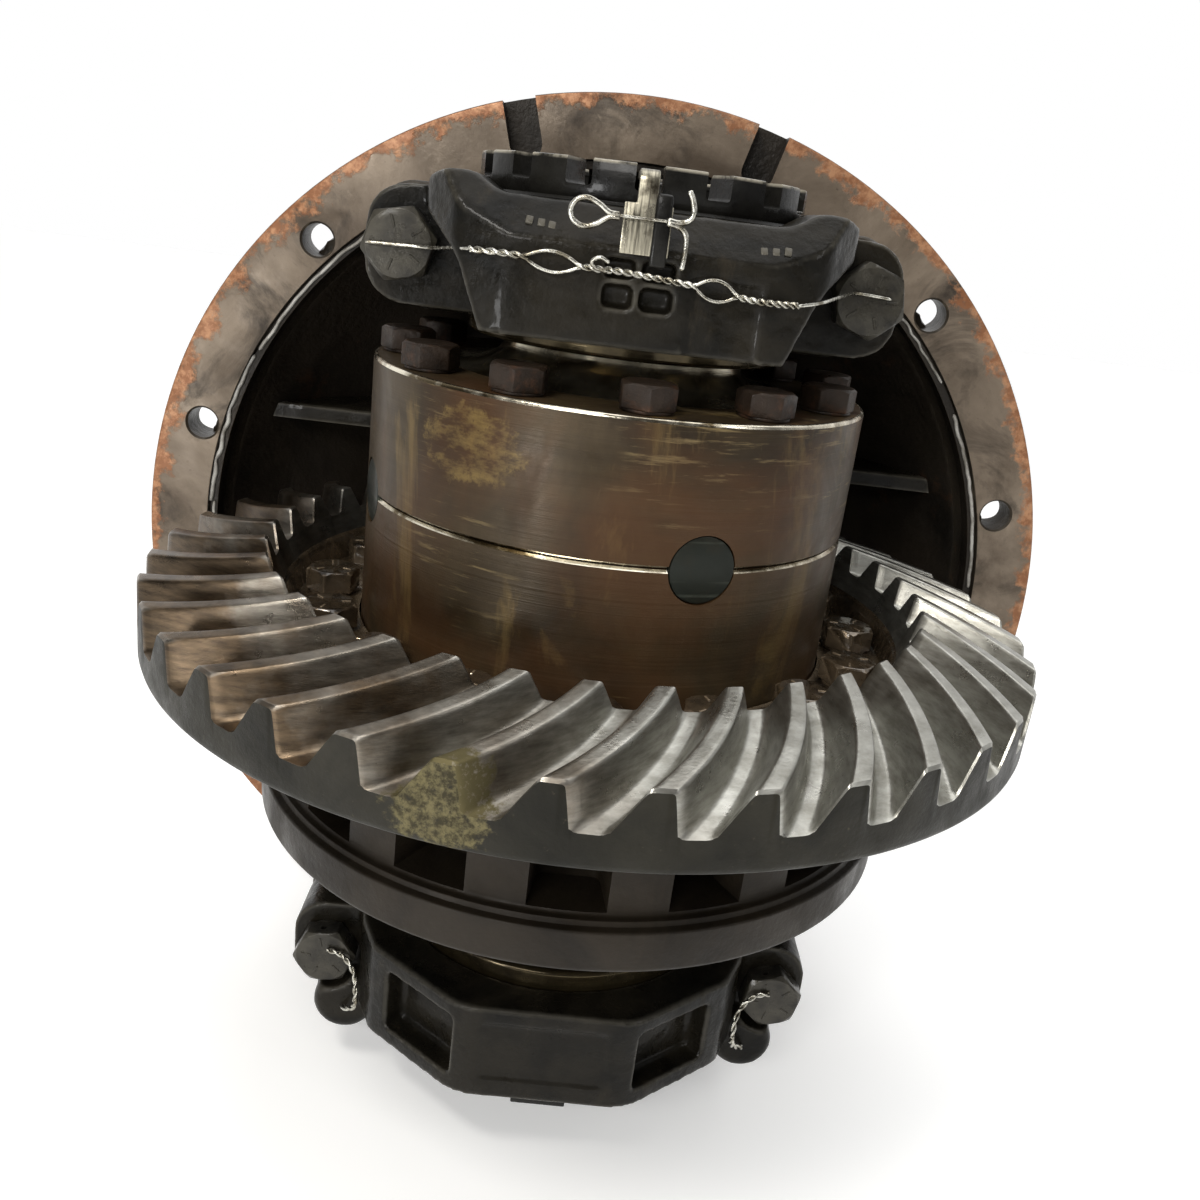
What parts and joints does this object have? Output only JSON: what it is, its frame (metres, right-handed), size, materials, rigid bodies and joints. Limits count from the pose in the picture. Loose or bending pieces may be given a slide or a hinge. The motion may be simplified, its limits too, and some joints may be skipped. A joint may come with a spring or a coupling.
{
  "type": "differential gear assembly",
  "caption": "Heavy axle differential carrier with ring gear, bolted two-piece case, spider and side gears, capped bearings, drive pinion and flanged housing.",
  "frame": {"origin": "centre of the housing flange's mating face, the face that seats on the axle housing", "axes": "+Z along the axle-shaft axis towards the plain case half, +Y along the drive pinion away from the axle housing, +X to the right seen from the axle housing"},
  "size_m": [0.5, 0.5675, 0.5],
  "materials": {
    "cast_carrier": "oil-stained casting",
    "oiled_cap": "wet with dark gear oil",
    "oiled_bolt": "oiled, dark",
    "rusty_bolt": "brown surface rust under oil",
    "oiled_case": "turned, filmed with oil",
    "gear_steel": "worn tooth faces",
    "pinion_steel": "worn tooth faces",
    "bearing_steel": "ground and polished",
    "wire_steel": "soft annealed wire",
    "seal_rubber": "moulded rubber",
    "coupling_steel": "machined forging"
  },
  "bodies": {
    "carrier": {"carrier_housing": "cast_carrier", "bearing_cap_upper": "oiled_cap", "bearing_cap_lower": "oiled_cap", "cap_bolt_upper_left": "oiled_bolt", "cap_bolt_upper_right": "oiled_bolt", "cap_bolt_lower_left": "oiled_bolt", "cap_bolt_lower_right": "oiled_bolt", "adjusting_ring_upper": "oiled_cap", "adjusting_ring_lower": "oiled_cap", "adjuster_lock_upper": "bearing_steel", "adjuster_lock_lower": "bearing_steel", "cotter_pin_upper": "wire_steel", "lock_wire_upper": "wire_steel", "lock_wire_lower_left": "wire_steel", "lock_wire_lower_right": "wire_steel", "bearing_cup_upper": "bearing_steel", "bearing_cup_lower": "bearing_steel", "pinion_bearing_cage": "cast_carrier", "pinion_oil_seal": "seal_rubber", "cage_bolt_1": "oiled_bolt", "cage_bolt_2": "oiled_bolt", "cage_bolt_3": "oiled_bolt", "cage_bolt_4": "oiled_bolt", "cage_bolt_5": "oiled_bolt", "cage_bolt_6": "oiled_bolt"},
    "diff_case": {"plain_case_half": "oiled_case", "flange_case_half": "oiled_case", "ring_gear": "gear_steel", "spider_cross": "gear_steel", "bearing_cone_upper": "bearing_steel", "bearing_cone_lower": "bearing_steel", "case_bolt_01": "rusty_bolt", "case_bolt_02": "rusty_bolt", "case_bolt_03": "rusty_bolt", "case_bolt_04": "rusty_bolt", "case_bolt_05": "rusty_bolt", "case_bolt_06": "rusty_bolt", "case_bolt_07": "rusty_bolt", "case_bolt_08": "rusty_bolt", "case_bolt_09": "rusty_bolt", "case_bolt_10": "rusty_bolt", "case_bolt_11": "rusty_bolt", "case_bolt_12": "rusty_bolt"},
    "side_gear_up": {"side_gear_upper": "gear_steel"},
    "side_gear_down": {"side_gear_lower": "gear_steel"},
    "spider_gear_1": {"spider_pinion_1": "gear_steel"},
    "spider_gear_2": {"spider_pinion_2": "gear_steel"},
    "spider_gear_3": {"spider_pinion_3": "gear_steel"},
    "spider_gear_4": {"spider_pinion_4": "gear_steel"},
    "pinion_shaft": {"drive_pinion": "pinion_steel", "pinion_bearing_inner": "bearing_steel", "pinion_bearing_outer": "bearing_steel", "companion_flange": "coupling_steel", "pinion_nut": "oiled_bolt"}
  },
  "joints": [
    {"name": "diff_spin", "type": "hinge", "parent": "carrier", "child": "diff_case", "pos_m": [0, -0.081, 0.074], "axis": [0, 0, 1], "continuous": true},
    {"name": "pinion_spin", "type": "hinge", "parent": "carrier", "child": "pinion_shaft", "pos_m": [0, -0.081, 0.074], "axis": [0, 1, 0], "continuous": true},
    {"name": "side_gear_upper_spin", "type": "hinge", "parent": "diff_case", "child": "side_gear_up", "pos_m": [0, -0.081, 0.064], "axis": [0, 0, 1], "continuous": true},
    {"name": "side_gear_lower_spin", "type": "hinge", "parent": "diff_case", "child": "side_gear_down", "pos_m": [0, -0.081, 0.064], "axis": [0, 0, 1], "continuous": true},
    {"name": "spider_pinion_1_spin", "type": "hinge", "parent": "diff_case", "child": "spider_gear_1", "pos_m": [0, -0.081, 0.064], "axis": [0.342, -0.9397, 0], "continuous": true},
    {"name": "spider_pinion_2_spin", "type": "hinge", "parent": "diff_case", "child": "spider_gear_2", "pos_m": [0, -0.081, 0.064], "axis": [0.9397, 0.342, 0], "continuous": true},
    {"name": "spider_pinion_3_spin", "type": "hinge", "parent": "diff_case", "child": "spider_gear_3", "pos_m": [0, -0.081, 0.064], "axis": [-0.342, 0.9397, 0], "continuous": true},
    {"name": "spider_pinion_4_spin", "type": "hinge", "parent": "diff_case", "child": "spider_gear_4", "pos_m": [0, -0.081, 0.064], "axis": [-0.9397, -0.342, 0], "continuous": true}
  ],
  "couplings": [
    {"joint": "pinion_spin", "follows": "diff_spin", "ratio": 3.7},
    {"joint": "side_gear_lower_spin", "follows": "side_gear_upper_spin", "ratio": -1},
    {"joint": "spider_pinion_1_spin", "follows": "side_gear_upper_spin", "ratio": -1.6667},
    {"joint": "spider_pinion_2_spin", "follows": "side_gear_upper_spin", "ratio": -1.6667},
    {"joint": "spider_pinion_3_spin", "follows": "side_gear_upper_spin", "ratio": -1.6667},
    {"joint": "spider_pinion_4_spin", "follows": "side_gear_upper_spin", "ratio": -1.6667}
  ]
}
